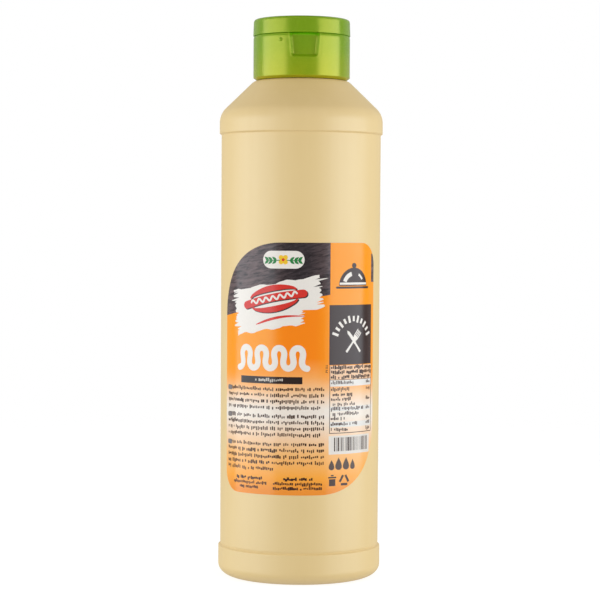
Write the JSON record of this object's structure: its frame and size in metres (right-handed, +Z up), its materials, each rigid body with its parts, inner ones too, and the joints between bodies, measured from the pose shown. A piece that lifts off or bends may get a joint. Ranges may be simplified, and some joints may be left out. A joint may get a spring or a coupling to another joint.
{
  "type": "mustard squeeze bottle",
  "caption": "Tall round squeeze bottle of mustard with stepped shoulder and base bands, a wrapped leaf-shaped front label and a shut flip-top cap with a thumb recess.",
  "frame": {"origin": "middle of the base, on the surface the bottle stands on", "axes": "+Z up the bottle to the cap, -Y towards the front of the label, +X to the right of someone who looks at the label"},
  "size_m": [0.0778, 0.0778, 0.2658],
  "materials": {
    "bottle_plastic": "satin, cream coloured by the mustard behind the wall",
    "label_film": "smooth printed film in charcoal, orange and pale fields",
    "cap_plastic": "semi-gloss pearl green"
  },
  "bodies": {
    "root": {"bottle": "bottle_plastic", "label": "label_film", "cap_base": "cap_plastic", "cap_lid": "cap_plastic", "cap_hinge": "cap_plastic"}
  },
  "joints": []
}
